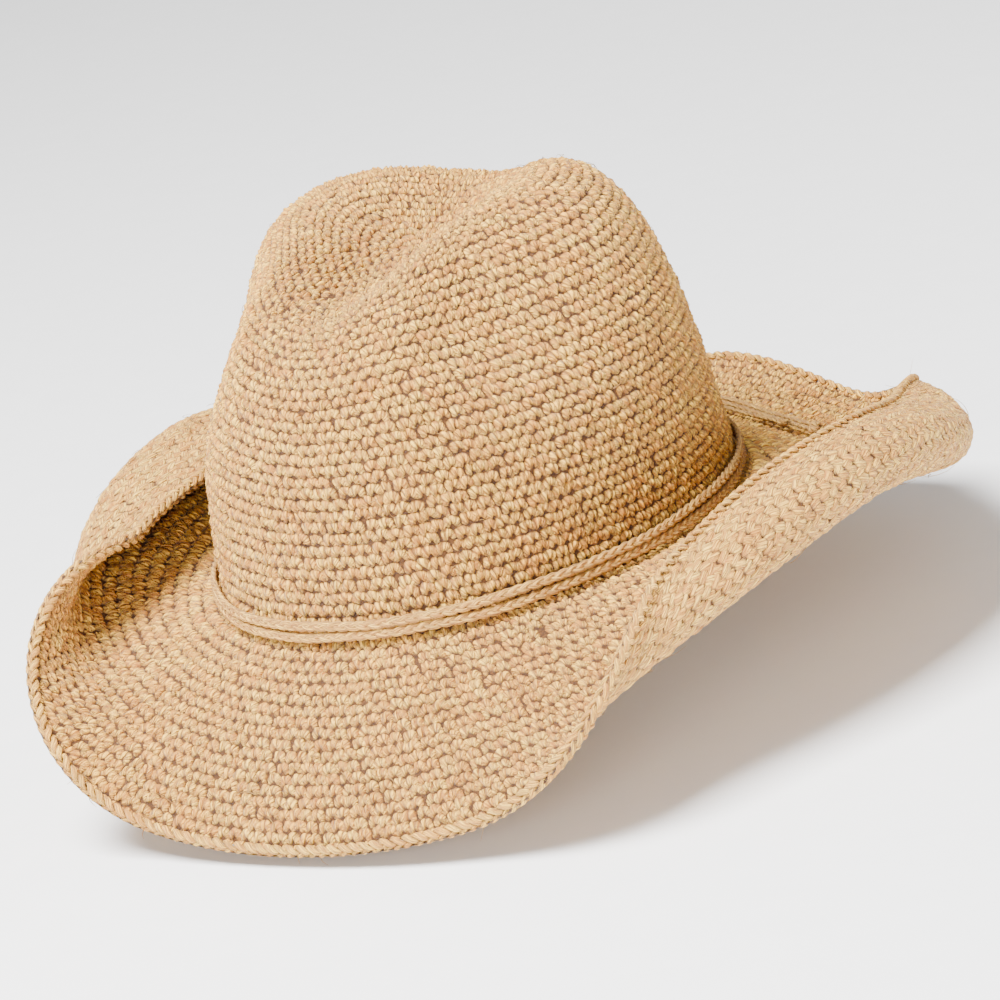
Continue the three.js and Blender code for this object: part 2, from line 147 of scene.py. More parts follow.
def base_normal(angle):
    n = np.stack([np.sin(angle) / HALF_WIDE, -np.cos(angle) / HALF_LONG, 0 * angle], -1)
    return n / np.linalg.norm(n, axis=-1, keepdims=True)


def base_point(angle):
    return np.stack([HALF_WIDE * np.sin(angle), -HALF_LONG * np.cos(angle), 0 * angle], -1)


def brim_section(angle):
    """Everything that shapes the brim's section at each angle."""
    sine, cosine = np.sin(angle), np.cos(angle)
    side = sine**2
    front = smooth((1 + cosine) / 2)
    corner = 4 * side * (1 - side)
    is_front = cosine > 0
    from_front = np.degrees(np.arccos(np.clip(cosine, -1, 1)))
    is_left = sine >= 0
    rear = from_front / 180
    lift = np.where(is_left, LEFT["lift"], RIGHT["lift"]) * side

    def blend(at_front, at_back, at_side):
        return mix(mix(at_back, at_front, front), at_side, side)

    def either(key, end):
        return np.where(is_left, LEFT[key][end], RIGHT[key][end])

    def between(first, last):
        return smooth((from_front - first) / (last - first))

    droop = between(BACK_CORNER_CURL["from"], BACK_CORNER_CURL["full"])
    droop = droop * smooth((180 - from_front) / (180 - BACK_CORNER_CURL["until"]))
    fall = smooth((ROLL_FALL[1] - from_front) / (ROLL_FALL[1] - ROLL_FALL[0]))
    corner_width = np.where(is_front, WIDTH_FRONT_CORNER, WIDTH_BACK_CORNER)
    corner_dip = np.where(is_front, 0, DIP_BACK_CORNER)
    return {
        "width": blend(WIDTH_FRONT, WIDTH_BACK, WIDTH_SIDE) + corner * corner_width,
        "dip": blend(DIP_FRONT, DIP_BACK, DIP_SIDE) + corner * corner_dip - lift,
        "curl": blend(CURL_FRONT, CURL_BACK, CURL_SIDE) + BACK_CORNER_CURL["amount"] * droop,
        "roll": ROLL * between(either("roll_rise", 0), either("roll_rise", 1)) * fall,
        "start": mix(either("roll_start", 0), either("roll_start", 1), rear),
        "turn": mix(*ROLL_TURN, rear),
    }


RING_POINTS = 721


class Sheet:
    """A surface as a fine grid of points and normals: columns go round, rows of fabric go across."""

    def __init__(self, points, per_row):
        self.points, self.per_row = points, per_row
        along = np.gradient(points, axis=1)
        round_ = np.roll(points, -1, 0) - np.roll(points, 1, 0)
        normals = np.cross(along, round_)
        size = np.linalg.norm(normals, axis=-1, keepdims=True)
        self.normals = normals / np.maximum(size, 1e-9)

    def look_up(self, grid, angle, row):
        count, across = grid.shape[:2]
        i = np.mod(angle / TURN, 1) * count
        j = np.clip(row * self.per_row, 0, across - 1.001)
        i0, j0 = np.floor(i).astype(int), np.floor(j).astype(int)
        fi, fj = (i - i0)[..., None], (j - j0)[..., None]
        i0, i1 = i0 % count, (i0 + 1) % count
        near = grid[i0, j0] * (1 - fj) + grid[i0, j0 + 1] * fj
        far = grid[i1, j0] * (1 - fj) + grid[i1, j0 + 1] * fj
        return near * (1 - fi) + far * fi

    def at(self, angle, row, height=0):
        """Points over the surface at a height above it."""
        normal = self.look_up(self.normals, angle, row)
        normal = normal / np.linalg.norm(normal, axis=-1, keepdims=True)
        return self.look_up(self.points, angle, row) + normal * np.asarray(height)[..., None]

    def ring(self, row):
        """Angles round one row and the length along it, for stitches of even width."""
        angles = np.linspace(0, TURN, RING_POINTS)
        line = self.at(angles, np.full(RING_POINTS, float(row)))
        steps = np.linalg.norm(np.diff(line, axis=0), axis=1)
        return angles, np.concatenate([[0], np.cumsum(steps)])


class Scaled:
    """A sheet whose rows are counted in another size."""

    def __init__(self, sheet, scale):
        self.sheet, self.scale = sheet, scale

    def at(self, angle, row, height):
        return self.sheet.at(angle, row * self.scale, height)


CROWN_ROWS, BRIM_ROWS, PER_ROW = 46, 19, 8
CROWN_COLUMNS, BRIM_COLUMNS = 720, 1440
SLOPE_STEPS = 3  # the brim's slope is added up in this many steps for each point across it
TIP = 0.004  # the crown's first point, as a share of the way from its tip to its foot
ROW_LEAN, ROW_LEAN_TOWARDS = 7, 125 * DEG  # the crown's rows sag by this much halfway up, at this angle


def crown_sheet():
    fine = np.linspace(0, math.pi / 2, 4001)
    z = np.cos(fine) ** (2 / SQUARE)
    r = MEAN_RADIUS * np.sin(fine) ** (2 / SQUARE) * (1 - TAPER_SIDE * z)
    lengths = np.concatenate([[0], np.cumsum(np.hypot(np.diff(r), np.diff(HEIGHT * z)))])
    share = np.linspace(TIP, 1, CROWN_ROWS * PER_ROW + 1)
    angle = np.linspace(0, TURN, CROWN_COLUMNS, endpoint=False)[:, None]
    leaning = ROW_LEAN * np.sin(math.pi * share) * np.cos(angle - ROW_LEAN_TOWARDS)
    phi = np.interp(share * lengths[-1] + leaning, lengths, fine)
    sheet = Sheet(crown_middle(angle + 0 * phi, phi), PER_ROW)
    at_tip = sheet.normals[:, 2].mean(0)
    sheet.normals[:, 0] = at_tip / np.linalg.norm(at_tip)
    sheet.normals[:, -1] = sheet.normals[:, -2]
    return sheet


def brim_sheet():
    angle = np.linspace(0, TURN, BRIM_COLUMNS, endpoint=False)
    section = brim_section(angle)
    steps = BRIM_ROWS * PER_ROW * SLOPE_STEPS
    share = np.linspace(0, 1, steps + 1)[:, None]
    distance = share * section["width"]
    turned = section["roll"] * smooth((distance - section["start"]) / section["turn"])
    slope = (turned - section["dip"] - section["curl"] * share) * DEG
    du = section["width"] / steps
    out = np.cumsum(np.cos((slope[1:] + slope[:-1]) / 2) * du, 0)
    up = np.cumsum(np.sin((slope[1:] + slope[:-1]) / 2) * du, 0)
    out, up = (np.vstack([0 * angle, v]) for v in (out, up))
    keep = slice(0, steps + 1, SLOPE_STEPS)
    points = base_point(angle)[:, None] + base_normal(angle)[:, None] * out[keep].T[..., None]
    points[..., 2] += up[keep].T
    return Sheet(points, PER_ROW)


crown, brim = crown_sheet(), brim_sheet()
brim_width = brim_section(np.linspace(0, TURN, BRIM_COLUMNS, endpoint=False))["width"]


def width_at(angle):
    marks = np.linspace(0, TURN, BRIM_COLUMNS + 1)
    return np.interp(np.mod(angle, TURN), marks, np.append(brim_width, brim_width[0]))


def over_brim(degrees, distance, height):
    """A point at a distance from the crown along the brim, and at a height above its middle surface."""
    angle = np.asarray(degrees, float) * DEG
    return brim.at(angle, np.asarray(distance, float) / width_at(angle) * BRIM_ROWS, height)


def beside_wall(angle, z, offset):
    """A point at height z, offset outwards from the middle of the crown's wall."""
    angle = np.asarray(angle, float)
    rise = np.maximum(z, 0) / HEIGHT
    x, y = tapered_oval(angle, (1 - rise**SQUARE) ** (1 / SQUARE), rise)
    return np.stack([x, y, z + 0 * x], -1) + base_normal(angle) * np.asarray(offset)[..., None]


# ---------------------------------------- meshes from arrays


class Parts:
    """Vertices, faces, fibre coordinates, and random tones with painted shading, gathered for one mesh."""

    def __init__(self):
        self.points, self.faces, self.fibres, self.tints, self.count = [], [], [], [], 0

    def add(self, points, faces, fibre=None, tint=None):
        n = len(points)
        self.points.append(points)
        self.faces.append(np.asarray(faces) + self.count)
        self.fibres.append(np.zeros((n, 2)) if fibre is None else fibre)
        self.tints.append(np.tile([0.5, 1, 0.5, 1], (n, 1)) if tint is None else tint)
        self.count += n

    def build(self, name, material, body, replaces=(), slot=None):
        mesh = bpy.data.meshes.new(name)
        mesh.vertices.add(self.count)
        mesh.vertices.foreach_set("co", (np.concatenate(self.points) / 1000).astype(np.float32).ravel())
        index = np.concatenate([f.ravel() for f in self.faces])
        sizes = np.concatenate([np.full(len(f), f.shape[1]) for f in self.faces])
        mesh.loops.add(len(index))
        mesh.loops.foreach_set("vertex_index", index.astype(np.int32))
        mesh.polygons.add(len(sizes))
        starts = np.concatenate([[0], np.cumsum(sizes)[:-1]])
        mesh.polygons.foreach_set("loop_start", starts.astype(np.int32))
        mesh.polygons.foreach_set("use_smooth", np.full(len(sizes), True))
        fibre = np.concatenate(self.fibres)[index].astype(np.float32)
        mesh.uv_layers.new(name="fibre").data.foreach_set("uv", fibre.ravel())
        tint = mesh.color_attributes.new("tint", "FLOAT_COLOR", "POINT")
        tint.data.foreach_set("color", np.concatenate(self.tints).astype(np.float32).ravel())
        mesh.update(calc_edges=True)
        mesh.validate()
        mesh.materials.append(material)
        obj = bpy.data.objects.new(name, mesh)
        bpy.context.scene.collection.objects.link(obj)
        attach(obj, body)
        if replaces:
            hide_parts(*replaces)
        return obj


def grid_faces(rows, columns):
    """Quads of one grid of points, rows + 1 by columns + 1."""
    i, j = np.meshgrid(np.arange(rows), np.arange(columns), indexing="ij")
    corner = (i * (columns + 1) + j).ravel()
    return np.stack([corner, corner + 1, corner + columns + 2, corner + columns + 1], 1)


def repeat_faces(faces, count, points_each):
    return (faces[None] + (np.arange(count) * points_each)[:, None, None]).reshape(-1, faces.shape[1])


def tints(count, each, painted_shading, low=0.0, high=1.0):
    """Per stitch random numbers in red and blue, and the template's painted shading in green: 1 is unshaded
    and 0 is full painted shade.
    """
    colour = np.ones((count, each, 4))
    colour[..., 0] = rng.uniform(low, high, (count, 1))
    colour[..., 1] = np.reshape(painted_shading, (-1, each))
    colour[..., 2] = rng.uniform(0, 1, (count, 1))
    return colour.reshape(-1, 4)


UNDERSIDE_SHADING = 0.55  # painted shading on a strand's underside: 0 is full shade, as in the deepest hollows, and 1 is none, as in the open


def tubes(parts, centres, ups, wide, high, sides=8, tint_low=0.0, tint_high=1.0):
    """Round or flattened tubes along many centrelines at once: centres is (tubes, steps, 3)."""
    count, steps = centres.shape[:2]
    tangent = np.gradient(centres, axis=1)
    tangent /= np.maximum(np.linalg.norm(tangent, axis=-1, keepdims=True), 1e-9)
    across = np.cross(tangent, ups)
    across /= np.maximum(np.linalg.norm(across, axis=-1, keepdims=True), 1e-9)
    lift = np.cross(across, tangent)
    round_ = np.arange(sides) / sides * TURN
    wide, high = np.broadcast_to(wide, (count, steps)), np.broadcast_to(high, (count, steps))
    ring = centres[:, :, None] + (
        (wide[..., None] * np.cos(round_))[..., None] * across[:, :, None]
        + (high[..., None] * np.sin(round_))[..., None] * lift[:, :, None]
    )
    i, j = np.meshgrid(np.arange(steps - 1), np.arange(sides), indexing="ij")
    a, b = (i * sides + j).ravel(), (i * sides + (j + 1) % sides).ravel()
    quads = np.stack([a, b, b + sides, a + sides], 1)
    apart = np.linalg.norm(np.diff(centres, axis=1), axis=-1)
    length = np.concatenate([np.zeros((count, 1)), np.cumsum(apart, 1)], 1)
    fibre = np.zeros((count, steps, sides, 2))
    fibre[..., 0] = np.abs(round_ - math.pi) * 1.1 + rng.uniform(0, 40, (count, 1, 1))
    fibre[..., 1] = length[:, :, None] + rng.uniform(0, 40, (count, 1, 1))
    # painted shade: each tube darkens towards its underside
    shade = UNDERSIDE_SHADING + (1 - UNDERSIDE_SHADING) * smooth(0.5 + 0.7 * np.sin(round_))
    painted_shading = np.broadcast_to(shade, (steps, sides))
    each = steps * sides
    colour = tints(count, each, painted_shading.reshape(-1), tint_low, tint_high)
    parts.add(ring.reshape(-1, 3), repeat_faces(quads, count, each), fibre.reshape(-1, 2), colour)
    ends = np.stack([np.arange(sides)[::-1], np.arange(sides) + (steps - 1) * sides])
    parts.faces.append(repeat_faces(ends, count, each) + parts.count - count * each)


# ---------------------------------------- crochet


def template(grids, across, along):
    """One stitch's grids as flat lists, and its faces."""
    return [np.broadcast_to(g, (across + 1, along + 1)).ravel() for g in grids] + [grid_faces(across, along)]


def kernel(across, along):
    """One stitch's puffy face: a rounded lobe whose two legs part at a small hole low in the middle. Returns
    u, v, height, painted shading and faces; it laps over its neighbours, so only a thin line shows between
    them."""
    a = np.linspace(-1, 1, across + 1)[:, None]
    b = np.sin(np.linspace(-1, 1, along + 1) * math.pi / 2)[None, :]
    top = -0.16 + 0.22 * a**2
    bottom = 1.11 - 0.37 * np.exp(-((a / 0.25) ** 2))
    v = top + (bottom - top) * (b + 1) / 2
    u = 0.64 * a * (0.95 + 0.06 * b) + 0.12 * (v - 0.5)
    dome = ((1 - np.abs(a) ** 2.8) * (1 - np.abs(b) ** 2.2)) ** 0.5
    crease = 0.45 * np.exp(-((a / 0.15) ** 2)) * smooth((b + 0.1) / 1.1)
    height = dome * (1 - crease)
    # painted shading: darker where the lobe dips low at its rim and at its top and bottom ends, where it
    # meets its neighbours
    painted_shading = smooth((height - 0.3) / 0.45) * (1 - 0.85 * smooth((np.abs(b) - 0.62) / 0.38))
    return template((u, v, height, painted_shading), across, along)


def pillow(across, along):
    """One flat interlocked bar of the reverse face."""
    a = np.sin(np.linspace(-1, 1, across + 1) * math.pi / 2)[:, None]
    b = np.sin(np.linspace(-1, 1, along + 1) * math.pi / 2)[None, :]
    dome = ((1 - np.abs(a) ** 3) * (1 - np.abs(b) ** 2.6)) ** 0.5
    u = 0.5 * a * (1 - 0.1 * b**2)
    v = 0.5 * b * (1 - 0.3 * a**2) + 0.14 * a**2
    # painted shading: darker towards the bar's low rim
    painted_shading = smooth((dome - 0.42) / 0.5)
    return template((u, v, dome, painted_shading), across, along)


def stitch_row(parts, sheet, row, count, lengths, shift, shape, place, rise, sink, flip=1, folds=0.0):
    """Sets one stitch after another round a row. place is where the stitch's middle goes in its cell (u, v),
    its size (u, v) and its turn. Each strand is folded differently: its ridges run to the hole below."""
    u0, v0, height, painted_shading, faces = shape
    angles, length = lengths
    cu, cv, su, sv, turn = place

    def wobble(size):
        return rng.normal(0, size, (count, 1))

    turned = turn + wobble(0.11)
    u = su * u0 * (1 + wobble(0.06))
    v = sv * v0 * (1 + wobble(0.05))
    ur = u * np.cos(turned) - v * np.sin(turned)
    vr = u * np.sin(turned) + v * np.cos(turned)
    along = np.arange(count)[:, None] + shift + cu + ur + wobble(0.05)
    across = row + cv + vr + wobble(0.05)
    angle = np.interp(np.mod(along / count, 1) * length[-1], length, angles)
    fan = np.arctan2(u0 + wobble(0.1), 1.15 - v0) if folds else v0 * 1.2
    reach = np.hypot(u0, 1.15 - v0) if folds else u0
    ridges = np.sin(fan * (12 + wobble(2)) + reach * wobble(1.5) + rng.uniform(0, TURN, (count, 1)))
    lift = rise * (1 + wobble(0.12)) * height * (1 + folds * (ridges - 0.3)) - sink
    points = sheet.at(angle, across, flip * lift)
    fibre = np.stack([fan * 2.6 + 0 * lift, reach * 4.6 + 0 * lift], -1)
    fibre = fibre + rng.uniform(0, 50, (count, 1, 2))
    # painted shade, deeper in the valleys between a strand's fold ridges
    shade = np.clip(painted_shading * (1 + 2.2 * folds * (np.minimum(ridges, 0.2) - 0.2)), 0, 1)
    each = len(u0)
    quads = faces if flip > 0 else faces[:, ::-1]
    colour = tints(count, each, shade)
    parts.add(points.reshape(-1, 3), repeat_faces(quads, count, each), fibre.reshape(-1, 2), colour)


STITCH_WIDTH = 4.7
FACE_RISE, FACE_SINK, FACE_FOLDS = 1.8, 0.45, 0.27
REVERSE_RISE, REVERSE_SINK = 1.15, 0.3
WHOLE_CELL = (0, 0, 1, 1, 0)  # places as stitch_row takes them
SLANTING_BARS = ((0.0, 0.26, 1.24, 0.92, 0.4), (0.5, 0.76, 1.24, 0.92, -0.4))


def stitches_round(lengths, width):
    return max(6, round(lengths[1][-1] / width))


def crochet_face(sheet, rows, parts_of):
    """The outer face: rows of puffy stitches, each row set about half a stitch on from the last."""
    shape = kernel(11, 8)
    shift = 0.0
    for row in rows:
        lengths = sheet.ring(row + 0.5)
        count = stitches_round(lengths, STITCH_WIDTH)
        stitch_row(
            parts_of(row), sheet, row, count, lengths, shift, shape, WHOLE_CELL,
            FACE_RISE, FACE_SINK, folds=FACE_FOLDS,
        )
        shift = (shift + 0.5 + rng.uniform(-0.12, 0.12)) % 1


def crochet_reverse(sheet, rows, scale, width, parts_of, shape):
    """The reverse face: interlocked slanting bars, two to a stitch. scale is fabric rows per reverse row."""
    scaled = Scaled(sheet, scale)
    for row in rows:
        lengths = sheet.ring((row + 0.5) * scale)
        count = stitches_round(lengths, width)
        for place in SLANTING_BARS:
            stitch_row(
                parts_of(row), scaled, row, count, lengths, 0.3 * (row % 3), shape, place,
                REVERSE_RISE, REVERSE_SINK, flip=-1,
            )


CORE_HALF = 0.22


def core(sheet, name, first, last, columns, material):
    """The thickness of fabric behind the stitches: a thin closed slab, dark with painted shade for the gaps
    between stitches.
    """
    angle = np.linspace(0, TURN, columns, endpoint=False)
    rows = np.linspace(first, last, int(last - first) * 2 + 1)
    loop = np.concatenate([rows, rows[::-1]])
    heights = np.concatenate([np.full(len(rows), CORE_HALF), np.full(len(rows), -CORE_HALF)])
    points = sheet.at(*np.broadcast_arrays(angle[:, None], loop[None], heights[None]))
    n = len(loop)
    i, j = np.meshgrid(np.arange(columns), np.arange(n), indexing="ij")
    i1, j1 = (i + 1) % columns, (j + 1) % n
    quads = np.stack([(i * n + j), (i1 * n + j), (i1 * n + j1), (i * n + j1)], -1).reshape(-1, 4)
    parts = Parts()
    parts.add(points.reshape(-1, 3), quads)
    return parts.build(name, material, "hat", slot="raffia")


# ---------------------------------------- materials


class Nodes:
    """Short ways to make and join shader nodes."""

    def __init__(self, name):
        self.material = bpy.data.materials.new(name)
        self.material.use_nodes = True
        self.tree = self.material.node_tree
        self.surface = self.tree.nodes["Principled BSDF"]

    def node(self, kind, **inputs):
        made = self.tree.nodes.new(kind)
        for key, value in inputs.items():
            if hasattr(made, key) and key not in made.inputs:
                setattr(made, key, value)
            else:
                self.plug(made.inputs[key], value)
        return made

    def plug(self, socket, value):
        if isinstance(value, bpy.types.NodeSocket):
            self.tree.links.new(value, socket)
        else:
            socket.default_value = value

    def math(self, operation, a, b=0.0):
        made = self.tree.nodes.new("ShaderNodeMath")
        made.operation = operation
        self.plug(made.inputs[0], a)
        self.plug(made.inputs[1], b)
        return made.outputs[0]

    def ramp(self, value, *stops):
        made = self.tree.nodes.new("ShaderNodeValToRGB")
        self.plug(made.inputs[0], value)
        for k, (place, colour) in enumerate(stops):
            stop = made.color_ramp.elements[k] if k < 2 else made.color_ramp.elements.new(place)
            stop.position, stop.color = place, (*colour, 1)
        return made.outputs[0]

    def mix(self, factor, a, b):
        made = self.tree.nodes.new("ShaderNodeMix")
        made.data_type = "RGBA"
        self.plug(made.inputs[0], factor)
        self.plug(made.inputs[6], a)
        self.plug(made.inputs[7], b)
        return made.outputs[2]

    def noise(self, vector, scale, detail=2.0, rough=0.5):
        made = self.node("ShaderNodeTexNoise", Vector=vector, Scale=scale, Detail=detail, Roughness=rough)
        return made.outputs["Fac"]

    def stretched(self, vector, by):
        made = self.node("ShaderNodeMapping", Vector=vector)
        made.inputs["Scale"].default_value = by
        return made.outputs[0]

    def bump(self, height, strength, distance):
        made = self.node("ShaderNodeBump", Height=height, Strength=strength, Distance=distance)
        self.plug(self.surface.inputs["Normal"], made.outputs[0])


def linear(r, g, b):
    """Linear colour from 0-255 sRGB."""
    return tuple((c / 255 / 12.92 if c < 10.3 else ((c / 255 + 0.055) / 1.055) ** 2.4) for c in (r, g, b))


def grey(value):
    return (value,) * 3


def raffia_material(name, light, mid, streak_and_crease_shade, shadow, fibres=1.0):
    """Split palm fibre: fine lines along each strand, partly painted crease shade, its own tone to each
    stitch, and painted shade in the hollows.
    """
    n = Nodes(name)
    uv = n.node("ShaderNodeUVMap", uv_map="fibre").outputs[0]
    place = n.node("ShaderNodeTexCoord").outputs["Object"]
    tint = n.tree.nodes.new("ShaderNodeAttribute")
    tint.attribute_name = "tint"
    split = n.node("ShaderNodeSeparateColor", Color=tint.outputs["Color"])
    stitch, painted_shading, other = split.outputs[0], split.outputs[1], split.outputs[2]
    lines = n.noise(n.stretched(uv, (1.7, 0.17, 1)), 1.0, 3, 0.7)
    fine = n.noise(n.stretched(uv, (5.5, 0.35, 1)), 1.0, 2, 0.5)
    wavy = n.node("ShaderNodeVectorMath", operation="ADD")
    n.plug(wavy.inputs[0], n.stretched(uv, (1.25, 0.1, 1)))
    sway = n.noise(n.stretched(uv, (0.5, 0.3, 1)), 1.0)
    n.plug(wavy.inputs[1], n.node("ShaderNodeCombineXYZ", X=sway).outputs[0])
    strands = n.node("ShaderNodeTexVoronoi", Vector=wavy.outputs[0], Scale=1.0, feature="DISTANCE_TO_EDGE")
    # painted shade in the thin partings between strands: dark lines where strands meet
    parting_shade = n.ramp(strands.outputs["Distance"], (0.0, grey(1)), (0.07, grey(0.6)), (0.17, grey(0)))
    patches = n.noise(place, 45.0, 3)
    wide = n.noise(place, 9.0, 2)
    base = n.ramp(stitch, (0.0, mid), (0.55, light), (1.0, tuple(min(1, c * 1.06) for c in light)))
    base = n.mix(n.math("MULTIPLY", n.math("SUBTRACT", patches, 0.5), 1.1), base, (*mid, 1))
    base = n.mix(n.math("MULTIPLY", n.math("GREATER_THAN", other, 0.86), 0.45), base, (*mid, 1))
    base = n.mix(n.math("MULTIPLY", wide, 0.25), base, (*mid, 1))
    # dark fibre streaks: partly the fibre's own lines, partly painted shade in fine creases
    streak_and_crease = n.ramp(lines, (0.34, grey(1)), (0.42, grey(0.45)), (0.5, grey(0)))
    base = n.mix(n.math("MULTIPLY", streak_and_crease, 0.85 * fibres), base, (*streak_and_crease_shade, 1))
    base = n.mix(n.math("MULTIPLY", parting_shade, 0.75 * fibres), base, (*streak_and_crease_shade, 1))
    thin = n.ramp(fine, (0.36, grey(1)), (0.5, grey(0)))
    base = n.mix(n.math("MULTIPLY", thin, 0.5 * fibres), base, (*streak_and_crease_shade, 1))
    # painted shade: the stitches' hollows, rims and undersides darken towards the shadow colour
    painted_shade_mix = n.ramp(painted_shading, (0.0, grey(1)), (0.35, grey(0.6)), (0.7, grey(0.15)), (1.0, grey(0)))
    base = n.mix(painted_shade_mix, base, (*shadow, 1))
    n.plug(n.surface.inputs["Base Color"], base)
    n.plug(n.surface.inputs["Roughness"], n.math("ADD", n.math("MULTIPLY", lines, 0.25), 0.48))
    n.surface.inputs["Specular IOR Level"].default_value = 0.32
    n.surface.inputs["Sheen Weight"].default_value = 0.12
    relief = n.math("ADD", lines, n.math("MULTIPLY", fine, 0.4))
    relief = n.math("SUBTRACT", relief, n.math("MULTIPLY", parting_shade, 0.5))
    n.bump(relief, 1.0, 0.0008)
    return n.material


SHADOW = linear(78, 42, 12)
# colour of the fibre streaks and of the painted crease shade on the reverse and the edging
STREAK_AND_CREASE_SHADE = linear(160, 92, 32)
raffia = raffia_material(
    "raffia_face", linear(255, 202, 80), linear(247, 177, 62), linear(156, 90, 28), SHADOW
)
raffia_back = raffia_material("raffia_reverse", linear(254, 206, 92), linear(246, 180, 70), STREAK_AND_CREASE_SHADE, SHADOW)
raffia_edge = raffia_material(
    "raffia_edging", linear(254, 203, 88), linear(246, 178, 70), STREAK_AND_CREASE_SHADE, SHADOW, 0.9
)
raffia_cord = raffia_material(
    "raffia_braid", linear(252, 201, 96), linear(242, 177, 74), linear(162, 96, 38), SHADOW
)


def core_shade_material():
    """Painted shade for the fabric behind the stitches: it stays dark brown, as it would be out of the light.
    """
    n = Nodes("raffia_core_shade")
    place = n.node("ShaderNodeTexCoord").outputs["Object"]
    brown = n.ramp(n.noise(place, 900.0, 3), (0.3, linear(50, 27, 8)), (0.7, linear(100, 60, 20)))
    n.plug(n.surface.inputs["Base Color"], brown)
    n.surface.inputs["Roughness"].default_value = 0.9
    n.bump(n.noise(place, 1500.0, 2), 0.6, 0.0003)
    return n.material


raffia_core_shade = core_shade_material()


def ribbon_material(name, light, dark, rib=0.9):
    """Ribbed woven tape: fine ribs across it and a weave of threads."""
    n = Nodes(name)
    uv = n.node("ShaderNodeUVMap", uv_map="fibre").outputs[0]
    place = n.node("ShaderNodeTexCoord").outputs["Object"]
    weave = n.noise(n.stretched(uv, (1.2, 9, 1)), 1.0, 2)
    soil = n.noise(place, 30.0, 3)
    colour = n.ramp(weave, (0.3, dark), (0.7, light))
    colour = n.mix(n.math("MULTIPLY", soil, 0.2), colour, (*dark, 1))
    n.plug(n.surface.inputs["Base Color"], colour)
    n.plug(n.surface.inputs["Roughness"], n.math("ADD", n.math("MULTIPLY", weave, 0.2), 0.65))
    n.surface.inputs["Sheen Weight"].default_value = 0.3
    n.bump(weave, 0.5, 0.0002 * rib)
    return n.material


def metal_material(name, colour, dark, rough):
    n = Nodes(name)
    place = n.node("ShaderNodeTexCoord").outputs["Object"]
    grain = n.noise(n.stretched(place, (1, 1, 6)), 700.0, 3)
    n.plug(n.surface.inputs["Base Color"], n.ramp(grain, (0.3, dark), (0.7, colour)))
    n.plug(n.surface.inputs["Roughness"], n.math("ADD", n.math("MULTIPLY", grain, 0.25), rough))
    n.surface.inputs["Metallic"].default_value = 1
    n.bump(grain, 0.2, 0.00005)
    return n.material


ribbon = ribbon_material("grosgrain_ribbon", linear(240, 232, 212), linear(206, 194, 170))
elastic = ribbon_material("elastic_web", linear(247, 245, 240), linear(216, 213, 206))
label_cloth = ribbon_material("label_weave", linear(249, 246, 236), linear(226, 221, 206), 0.5)
thread = ribbon_material("sewing_thread", linear(236, 226, 204), linear(196, 180, 150))

# ---------------------------------------- free cords: the hatband's tied tails

CORD_R, TAIL_R, TAIL_KNOT_R = 1.6, 1.2, 2.3
TAIL_LIFT = 0.7  # clear gap between a tail and the brim under it
TAIL_START = (4, 1.5)  # its first places are raised by this much more, as it leaves the knot above the brim
TAIL_STEPS, TAIL_PERIOD, TAIL_STRAND = 110, 8.4, 0.62
CORD_STEPS, CORD_PERIOD, CORD_STRAND = 1000, 12.5, 0.84
# Each tail is a list of places: degrees from the front, and distance along the brim from the crown.
TAILS = {
    "hatband_tail_1": [
        (187.4, 11.2), (186.5, 15), (184, 21), (179, 27.5), (172, 31), (163, 32.8), (154, 33.5),
    ],
    "hatband_tail_2": [
        (189.3, 11.8), (189, 15.5), (187, 22), (181, 31), (172, 35.4), (160, 37.6), (147, 38.2),
    ],
    "hatband_tail_3": [
        (191.2, 11.8), (191.2, 15.5), (189.6, 24), (183, 34.6), (173, 39.8), (162, 42), (151, 43),
    ],
    "hatband_tail_4": [(193.2, 11), (194, 15), (197, 21.5), (202, 27), (209, 31), (216, 33)],
}


def smooth_line(points, steps):
    """A curve through the points, evenly spaced."""
    p = np.vstack([2 * points[0] - points[1], points, 2 * points[-1] - points[-2]])
    fine = []
    for k in range(1, len(p) - 2):
        t = np.linspace(0, 1, 40, endpoint=False)[:, None]
        a, b, c, d = p[k - 1 : k + 3]
        square, cube = 2 * a - 5 * b + 4 * c - d, 3 * b - a - 3 * c + d
        fine.append(0.5 * (2 * b + (c - a) * t + square * t**2 + cube * t**3))
    fine = np.vstack([*fine, p[-2:-1]])
    length = np.concatenate([[0], np.cumsum(np.linalg.norm(np.diff(fine, axis=0), axis=1))])
    even = np.linspace(0, length[-1], steps)
    return np.stack([np.interp(even, length, fine[:, k]) for k in range(3)], 1), length[-1]


def braid(parts, line, ups, radius, period, strand, phase):
    """Three strands plaited flat along a line; each comes back to its place after one period."""
    steps = np.linalg.norm(np.diff(line, axis=0), axis=1)
    length = np.concatenate([[0], np.cumsum(steps)])
    tangent = np.gradient(line, axis=0)
    tangent /= np.linalg.norm(tangent, axis=1, keepdims=True)
    across = np.cross(tangent, ups)
    across /= np.linalg.norm(across, axis=1, keepdims=True)
    lift = np.cross(across, tangent)
    centres = []
    for k in range(3):
        turn = length / period * TURN + k * TURN / 3 + phase
        sideways = (radius - strand * 1.02) * np.sin(turn)
        raised = 0.42 * strand * np.sin(2 * turn)
        centres.append(line + across * sideways[:, None] + lift * raised[:, None])
    centres = np.array(centres)
    tubes(parts, centres, np.broadcast_to(ups, centres.shape), strand * 1.02, strand * 0.8, 8, 0.25, 1)


